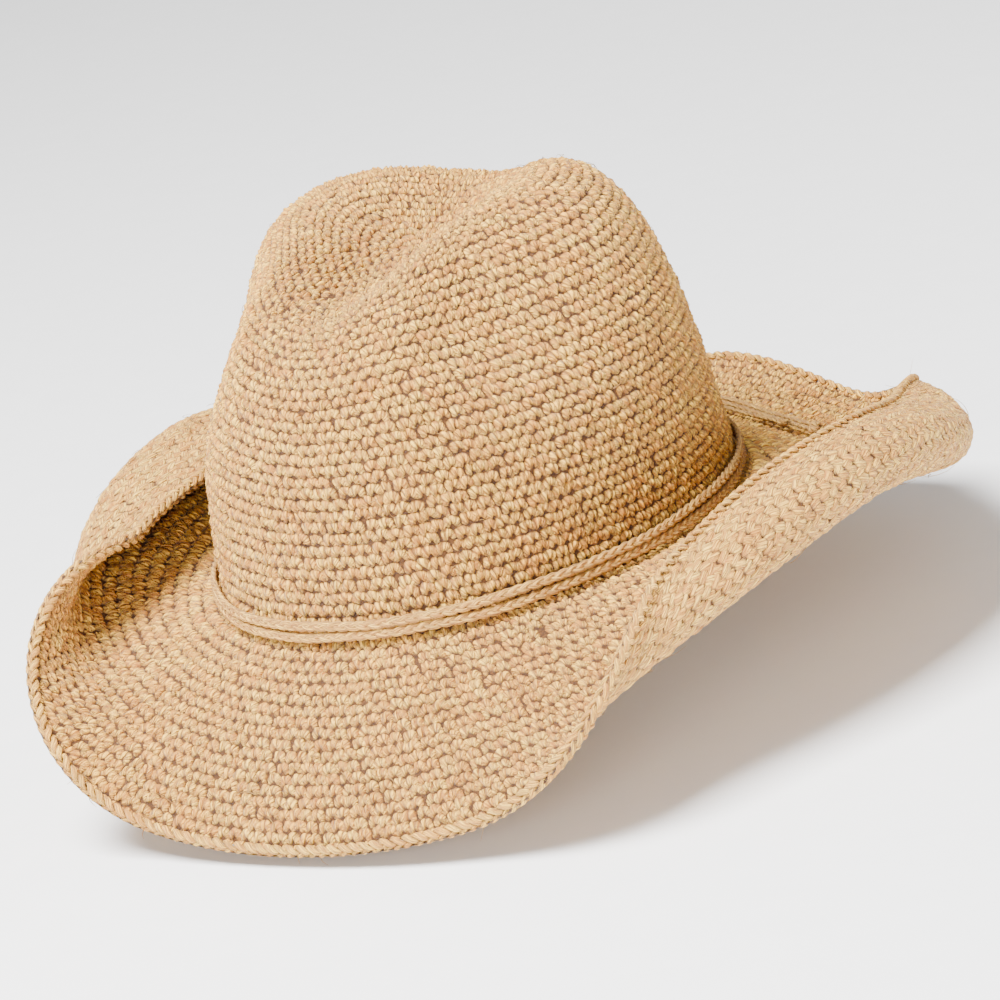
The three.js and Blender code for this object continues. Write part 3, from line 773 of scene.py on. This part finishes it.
def tail_knot(parts, centre, ups, heading, radius):
    """A small overhand knot with a frayed end."""
    t = np.linspace(0, TURN, 49)
    lift = ups / np.linalg.norm(ups)
    along = heading - lift * heading.dot(lift)
    along /= np.linalg.norm(along)
    side = np.cross(along, lift)
    x, y, z = np.sin(t) + 2 * np.sin(2 * t), np.cos(t) - 2 * np.cos(2 * t), -np.sin(3 * t)
    k = (radius - 0.85) / 3
    line = centre + k * (x[:, None] * along + y[:, None] * side + 1.25 * z[:, None] * lift)
    tubes(parts, line[None], np.broadcast_to(lift, (1, 49, 3)), 0.85, 0.8, 8, 0.3, 1)
    for _ in range(7):
        spread = rng.uniform(-0.5, 0.5) * side + rng.uniform(-0.1, 0.35) * lift
        reach = np.linspace(0, 1, 6)[:, None] * rng.uniform(3, 5.5)
        fray = centre + along * reach + spread * reach * np.linspace(0.3, 1, 6)[:, None]
        tubes(parts, fray[None], np.broadcast_to(lift, (1, 6, 3)), 0.26, 0.1, 5, 0.4, 1)


for tail, route in TAILS.items():
    degrees, distance = np.array(route, float).T
    lifts = np.full(len(route), WALL / 2 + TAIL_LIFT + TAIL_R)
    lifts[:2] += TAIL_START
    lifts[-1] += TAIL_KNOT_R - TAIL_R
    marks = over_brim(degrees, distance, lifts)
    knot_centre = marks[-1].copy()
    heading = (marks[-1] - marks[-2]) / np.linalg.norm(marks[-1] - marks[-2])
    marks[-1] = knot_centre - heading * (TAIL_KNOT_R + 0.3)
    line, length = smooth_line(marks, TAIL_STEPS)
    up_marks = over_brim(degrees, distance, lifts + 1) - over_brim(degrees, distance, lifts)
    share = np.linspace(0, 1, len(route))
    even = np.linspace(0, 1, TAIL_STEPS)
    ups = np.stack([np.interp(even, share, up_marks[:, k]) for k in range(3)], 1)
    cord_parts, knot_parts = Parts(), Parts()
    braid(cord_parts, line, ups, TAIL_R, TAIL_PERIOD, TAIL_STRAND, rng.uniform(0, 6))
    tail_knot(knot_parts, knot_centre, ups[-1], heading, TAIL_KNOT_R)
    cord = cord_parts.build(tail + "_braid", raffia_cord, "hatband", [tail], "raffia_braid")
    end = knot_parts.build(tail + "_knot_end", raffia_cord, "hatband", [tail + "_knot"], "raffia_braid")

# ---------------------------------------- hatband: two braids and their knot

KNOT_ANGLE, KNOT_LONG, KNOT_DEEP, KNOT_HIGH, KNOT_Z = 190 * DEG, 8, 4.3, 4.6, 5.2
CORD_CLEARANCE = 0.5  # between the hatband and the crown, its two cords, and the cords and the knot
CORD_HEIGHT_SIDE = 4.3  # the lower cord's centre above the base line
CORD_DROP, CORD_RISE_RIGHT = 1.4, 1.5  # lower at the front and back, higher on the wearer's right
LOOSENESS = 0.15  # how much wider the plait runs than the cord it stands for
knot_reach = (KNOT_LONG + CORD_CLEARANCE) / HALF_LONG
# Place along the knot, lean and width of each wrap.
WRAPS = ((-4.4, 0.25, 1.5), (-1.4, -0.35, 1.7), (1.7, 0.4, 1.7), (4.6, -0.2, 1.5))


def band_cord(name, upper):
    """One plaited cord round the crown, wavering a little; upper is 1 for the upper cord, 0 for the lower."""
    angle = np.linspace(KNOT_ANGLE + knot_reach, KNOT_ANGLE + TURN - knot_reach, CORD_STEPS)
    z = CORD_HEIGHT_SIDE - CORD_DROP * np.cos(angle) ** 2
    z = z + CORD_RISE_RIGHT * np.maximum(-np.sin(angle), 0) ** 2 + upper * (2 * CORD_R + CORD_CLEARANCE)
    z = z + 0.25 * np.sin(angle * 7 + 2 * upper) + 0.12 * np.sin(angle * 17 + upper)
    line = beside_wall(angle, z, WALL / 2 + CORD_CLEARANCE + CORD_R + LOOSENESS * np.sin(angle * 11))
    ups = base_normal(angle) + np.array([0, 0, 0.35])
    parts = Parts()
    braid(parts, line, ups, CORD_R + LOOSENESS, CORD_PERIOD, CORD_STRAND, 1.3 * upper)
    return parts.build(name, raffia_cord, "hatband", [name.replace("_braid", "_cord")], "raffia_braid")


band_cord("hatband_lower_braid", 0)
band_cord("hatband_upper_braid", 1)


def band_knot():
    """Four leaning wraps and the two cords' ends passing under them."""
    parts = Parts()
    centre = beside_wall(KNOT_ANGLE, KNOT_Z, WALL / 2 + CORD_CLEARANCE + KNOT_DEEP)
    out = base_normal(np.array(KNOT_ANGLE))
    up = np.array([0, 0, 1.0])
    side = np.cross(up, out)
    t = np.linspace(0, TURN, 41)[:, None]
    for shift, lean, wide in WRAPS:
        size = math.sqrt(max(0.1, 1 - (shift / 8.6) ** 2))
        loop = centre + side * (shift + lean * 3 * np.sin(t)) + (
            out * (KNOT_DEEP - 1) * size * np.cos(t) + up * (KNOT_HIGH - 1.2) * size * np.sin(t)
        )
        tubes(parts, loop[None], (loop - centre - side * shift)[None], wide, 0.95, 8, 0.3, 1)
    for sign in (-1, 1):
        reach = np.linspace(0, 1, 20)[:, None]
        bend = centre + side * sign * (2 + 5.2 * reach) + up * (sign * 1.2 * np.sin(reach * 3))
        bend = bend + out * (1.2 - 2.4 * reach)
        tubes(parts, bend[None], np.broadcast_to(out, (1, 20, 3)), 1.5, 1.1, 8, 0.3, 1)
    parts.build("hatband_knot_wraps", raffia_cord, "hatband", ["hatband_knot"], "raffia_braid")


band_knot()

# ---------------------------------------- crown and brim fabric

REVERSE_BRIM_ROWS = 24
groups = {}


def group(name):
    return groups.setdefault(name, Parts())


def split_at(prefix, edges):
    """Which mesh each row goes to: a new one starts at each of the edges."""
    return lambda row: group(f"{prefix}_{1 + sum(row >= e for e in edges)}")


crochet_face(crown, range(CROWN_ROWS), split_at("crown_face", (19, 27, 34, 40)))
crochet_reverse(crown, range(CROWN_ROWS), 1, 5.3, split_at("crown_reverse", (20, 31)), pillow(4, 3))
crochet_face(brim, range(BRIM_ROWS), split_at("brim_face", (5, 9, 12, 15)))
scale = BRIM_ROWS / REVERSE_BRIM_ROWS
crochet_reverse(
    brim, range(REVERSE_BRIM_ROWS), scale, 5.0, split_at("brim_reverse", (7, 13, 19)), pillow(6, 4)
)
for name, parts in groups.items():
    node = name.split("_")[0]
    face = raffia if "face" in name else raffia_back
    parts.build(name, face, "hat", [node], "raffia")
# dark slabs of painted shade behind the stitches, seen through the gaps between them
core(crown, "crown_core_shade", 0.3, CROWN_ROWS, 240, raffia_core_shade)
core(brim, "brim_core_shade", 0.0, BRIM_ROWS - 0.4, 360, raffia_core_shade)

# ---------------------------------------- brim edging

EDGE_R, EDGE_PITCH = 2.3, 4.15
# The chain's strands: where each starts and ends round the edging in degrees up from its outer side, the
# stitches it lags and the stitches it reaches.
EDGE_STRANDS = ((128, 36, 0, 1.5), (-66, 14, 0.5, 1.5), (-60, -132, 0.2, 0.9))


def edge_frame(angle):
    """The edging's centre line with its outward and upward directions."""
    share = BRIM_ROWS * (1 - EDGE_R / width_at(angle))
    centre = brim.at(angle, share)
    inner = brim.at(angle, share - 0.5)
    outward = centre - inner
    outward /= np.linalg.norm(outward, axis=-1, keepdims=True)
    upward = brim.at(angle, share, np.ones_like(share)) - centre
    return centre, outward, upward


def edging():
    """The chain of stitches that closes the brim over its wire."""
    parts = Parts()
    angles, length = brim.ring(BRIM_ROWS - 0.5)
    count = round(length[-1] / EDGE_PITCH)
    share = np.linspace(0, 1, 10)
    fat = np.sin(math.pi * np.clip(share, 0.03, 0.97)) ** 0.35
    for start, end, lag, reach in EDGE_STRANDS:
        place = np.arange(count)[:, None] + lag + share * reach + rng.normal(0, 0.04, (count, 1))
        angle = np.interp(np.mod(place / count, 1) * length[-1], length, angles)
        around = (start + (end - start) * smooth(share)) * DEG + rng.normal(0, 0.05, (count, 1))
        centre, outward, upward = edge_frame(angle)
        direction = outward * np.cos(around)[..., None] + upward * np.sin(around)[..., None]
        middle = centre + direction * (1.2 + 0.55 * np.sin(math.pi * share))[:, None]
        tubes(parts, middle, direction, fat * (1.12 + rng.normal(0, 0.08, (count, 1))), fat * 0.8, 8, 0.1, 1)
    parts.build("brim_edge_stitches", raffia_edge, "hat", ["brim_edge_chain"], "raffia_edge")


edging()

# ---------------------------------------- stray fibres


FIBRE_POINTS = 7
# Fibres that lie on the fabric: the sheet, its rows, its outer side or its reverse, and how many there are.
LYING_FIBRES = ((crown, CROWN_ROWS, 1, 260), (brim, BRIM_ROWS, 1, 200), (brim, BRIM_ROWS, -1, 260))
STANDING_FIBRES = 60


def lying_fibres(parts):
    """Fine split ends curled against the fabric."""
    for sheet, rows, side, count in LYING_FIBRES:
        angle = rng.uniform(0, TURN, (count, 1))
        row = rng.uniform(rows * 0.12, rows - 0.6, (count, 1))
        heading = rng.uniform(0, TURN, (count, 1))
        bend = rng.normal(0, 1.1, (count, 1))
        t = np.linspace(0, 1, FIBRE_POINTS)[None]
        reach = rng.uniform(2.0, 6.5, (count, 1)) * t
        turned = heading + bend * t
        height = rng.uniform(0.1, 1.3, (count, 1))
        rise = 1.15 + height * np.sin(math.pi * t * rng.uniform(0.5, 1, (count, 1)))
        round_hat, across = angle + reach * np.cos(turned) / 95, row + reach * np.sin(turned) / 4.2
        points = sheet.at(round_hat, across, side * rise)
        thin = np.linspace(0.17, 0.07, FIBRE_POINTS) * rng.uniform(0.7, 1.3, (count, 1))
        ups = sheet.look_up(sheet.normals, angle + 0 * t, row + 0 * t)
        tubes(parts, points, ups, thin, thin * 0.6, 4, 0, 0.6)


def standing_fibres(parts):
    """Fine split ends that stand off the edging."""
    count = STANDING_FIBRES
    angle = rng.uniform(0, TURN, count)
    centre, outward, upward = edge_frame(angle)
    away = outward + upward * rng.uniform(-0.8, 0.8, (count, 1))
    drift = rng.normal(0, 0.6, (count, 3))
    reach = rng.uniform(2, 6, (count, 1, 1)) * np.linspace(0, 1, FIBRE_POINTS)[None, :, None]
    points = (centre + outward * 1.6)[:, None] + away[:, None] * reach * 0.8
    points = points + drift[:, None] * reach * reach / 6
    thin = np.linspace(0.15, 0.05, FIBRE_POINTS)
    tubes(parts, points, np.cross(away, drift)[:, None] + 0 * points, thin, thin * 0.6, 4, 0, 1)


strays = Parts()
lying_fibres(strays)
standing_fibres(strays)
strays.build("stray_fibres", raffia_edge, "hat", slot="raffia")

# ---------------------------------------- sweatband and what is sewn to it

# Offsets go outwards from the middle of the crown's wall, so everything inside the crown has a negative one.
BAND_GAP = 0.5
BAND_OUT = -(WALL / 2 + BAND_GAP)
LEAF, CHANNEL, BAND_LOW, HEM_TOP, BAND_TOP = 0.8, 1.3, 0.8, 12.8, 30.8
BAND_IN = BAND_OUT - 2 * LEAF - CHANNEL
BAND_ENDS = (180.8, 539.2)  # either side of its join at the back
OUTLINE_STEP = 1.8


def strip(name, outline, first, last, steps, material, replaces, slot, rib, ribs_per_mm, wrap=False):
    """Sweeps a closed outline of (offset, height) round the wall, with fine ribs across it."""
    outline = np.array(outline, float)
    angle = np.linspace(first, last, steps, endpoint=not wrap) * DEG
    closed = np.vstack([outline, outline[:1]])
    length = np.concatenate([[0], np.cumsum(np.linalg.norm(np.diff(closed, axis=0), axis=1))])
    n = max(12, int(length[-1] / OUTLINE_STEP))
    even = np.linspace(0, length[-1], n, endpoint=False)
    offset = np.interp(even, length, closed[:, 0])
    height = np.interp(even, length, closed[:, 1])
    middle = outline.mean(0)
    ripple = rib * np.sin(angle[:, None] * MEAN_RADIUS * ribs_per_mm * TURN) * np.sign(offset - middle[0])
    points = beside_wall(angle[:, None] + 0 * even, height[None], offset[None] + ripple)
    columns = steps if wrap else steps - 1
    i, j = np.meshgrid(np.arange(columns), np.arange(n), indexing="ij")
    i1, j1 = (i + 1) % steps, (j + 1) % n
    quads = np.stack([i * n + j, i * n + j1, i1 * n + j1, i1 * n + j], -1).reshape(-1, 4)
    fibre = np.stack(np.broadcast_arrays(even[None], angle[:, None] * MEAN_RADIUS), -1)
    parts = Parts()
    parts.add(points.reshape(-1, 3), quads, fibre.reshape(-1, 2))
    if not wrap:
        parts.faces.append(np.arange(n)[None, ::-1])
        parts.faces.append(np.arange(n)[None] + (steps - 1) * n)
    return parts.build(name, material, "hat", replaces, slot)


def u_outline():
    """The ribbon folded up at its lower edge, with a rounded fold."""
    outer, inner = BAND_OUT, BAND_IN
    middle, radius = (outer + inner) / 2, (outer - inner) / 2
    turn = np.linspace(0, math.pi, 9)

    def arc(r):
        return [(middle + r * math.cos(t), BAND_LOW + radius - r * math.sin(t)) for t in turn]

    top = [(inner, BAND_TOP), (inner + LEAF, BAND_TOP)]
    return [(outer, HEM_TOP), *arc(radius), *top, *arc(radius - LEAF)[::-1], (outer - LEAF, HEM_TOP)]


def patch(outer, thick, low, high):
    """The outline of a flat strip, with its outer face at an offset."""
    return [(outer, low), (outer, high), (outer - thick, high), (outer - thick, low)]


ELASTIC_GAP, PATCH_GAP = 0.3, 0.6  # from the ribbon to what lies in its fold and to what is sewn on it
ELASTIC, TAB, LABEL = (0.7, 1.95, 7.9), (0.7, 3, 28), (0.5, 8, 22)  # thickness, bottom and top
elastic_outline = patch(BAND_OUT - LEAF - ELASTIC_GAP, *ELASTIC)
patch_out = BAND_IN - PATCH_GAP
tab_outline, label_outline = patch(patch_out, *TAB), patch(patch_out, *LABEL)
strip("sweatband_ribbon", u_outline(), *BAND_ENDS, 1201, ribbon, ["sweatband"], "ribbon", 0.05, 0.5)
strip(
    "elastic_band", elastic_outline, 0, 360, 900, elastic, ["sweatband_elastic"], "elastic", 0.06, 0.5, True
)
strip("join_tab_ribbon", tab_outline, 177, 183, 40, ribbon, ["sweatband_join_tab"], "ribbon", 0.05, 1.0)
strip("size_label_cloth", label_outline, 197, 213, 80, label_cloth, ["size_label"], "label_cloth", 0.02, 2.0)


def running_stitch(parts, angles, heights, offset, pitch, radius):
    """Short sewn stitches along a line on the sweatband's inner face."""
    line = beside_wall(angles, heights, offset)
    length = np.concatenate([[0], np.cumsum(np.linalg.norm(np.diff(line, axis=0), axis=1))])
    count = int(length[-1] / pitch)
    share = np.linspace(0, 1, 7)
    place = (np.arange(count)[:, None] + 0.15 + 0.7 * share) * pitch
    points = np.stack([np.interp(place, length, line[:, k]) for k in range(3)], -1)
    inward = np.stack([np.interp(place, length, -base_normal(angles)[:, k]) for k in range(3)], -1)
    points = points + inward * (0.22 * np.sin(math.pi * share) - 0.1)[:, None]
    tubes(parts, points, inward, radius, radius, 6, 0.4, 1)


# Lines of sewing: from and to in degrees, number of points, height, offset, pitch and thread radius.
tab_face, label_face = patch_out - TAB[0], patch_out - LABEL[0]
SEAMS = (
    (181.5, 538.5, 900, 10.6, patch_out + PATCH_GAP, 3.1, 0.22),
    (177.6, 182.4, 20, 4.0, tab_face, 2.2, 0.2),
    (177.6, 182.4, 20, 27.0, tab_face, 2.2, 0.2),
    (197.6, 212.4, 60, 8.9, label_face, 2.2, 0.2),
    (197.6, 212.4, 60, 21.1, label_face, 2.2, 0.2),
)
stitches = Parts()
for first, last, count, height, offset, pitch, radius in SEAMS:
    angles = np.linspace(first, last, count) * DEG
    running_stitch(stitches, angles, np.full(count, height), offset, pitch, radius)
stitches.build("sweatband_stitches", thread, "hat", slot="ribbon")

# ---------------------------------------- the wire keeps its CAD mesh

wire_steel = metal_material("drawn_wire", linear(196, 199, 203), linear(140, 143, 148), 0.25)
brass = metal_material("satin_brass", linear(214, 176, 96), linear(160, 120, 56), 0.3)
for node, material in (("brim_wire", wire_steel), ("brim_wire_ferrule", brass)):
    nodes[node].data.materials.clear()
    nodes[node].data.materials.append(material)

# ---------------------------------------- floor and light


FLOOR_HALF, FLOOR_SQUARES = 6, 40
# Lights: name, place to the right of, above and in front of the hat as the camera sees it, size and power.
LIGHTS = (
    ("key", -0.85, 1.2, 1.05, 0.85, 158),
    ("fill", 1.6, -0.05, 1.1, 1.0, 48),
    ("front", -0.35, -0.25, 1.7, 0.7, 24),
)
WORLD_LIGHT = 0.42


def floor():
    mesh = bpy.data.meshes.new("floor")
    side = np.linspace(-FLOOR_HALF, FLOOR_HALF, FLOOR_SQUARES + 1)
    x, y = np.meshgrid(side, side, indexing="ij")
    points = np.stack([x, y, 0 * x], -1).reshape(-1, 3)
    mesh.from_pydata(points.tolist(), [], grid_faces(FLOOR_SQUARES, FLOOR_SQUARES).tolist())
    shade = Nodes("floor_paper")
    place = shade.node("ShaderNodeTexCoord").outputs["Object"]
    paper = shade.ramp(shade.noise(place, 60.0, 3), (0.2, grey(0.93)), (0.8, grey(0.96)))
    shade.plug(shade.surface.inputs["Base Color"], paper)
    shade.surface.inputs["Roughness"].default_value = 0.95
    mesh.materials.append(shade.material)
    obj = bpy.data.objects.new("floor", mesh)
    bpy.context.scene.collection.objects.link(obj)
    obj.location.z = min(corner[2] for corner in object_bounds()) - 0.001
    obj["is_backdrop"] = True


floor()


def area_light(name, location, size, power):
    """A square light that faces the hat's centre."""
    data = bpy.data.lights.new(name, "AREA")
    data.shape, data.size, data.energy = "SQUARE", size, power
    obj = bpy.data.objects.new(name, data)
    bpy.context.scene.collection.objects.link(obj)
    obj.location = location
    obj.rotation_mode = "QUATERNION"
    obj.rotation_quaternion = (HAT_CENTRE - location).to_track_quat("-Z", "Y")


for name, sideways, upwards, forwards, size, power in LIGHTS:
    area_light(name, HAT_CENTRE + right * sideways + above * upwards + back * forwards, size, power)
world = bpy.data.worlds.new("studio")
world.use_nodes = True
world.node_tree.nodes["Background"].inputs["Color"].default_value = (1, 1, 1, 1)
world.node_tree.nodes["Background"].inputs["Strength"].default_value = WORLD_LIGHT
bpy.context.scene.world = world
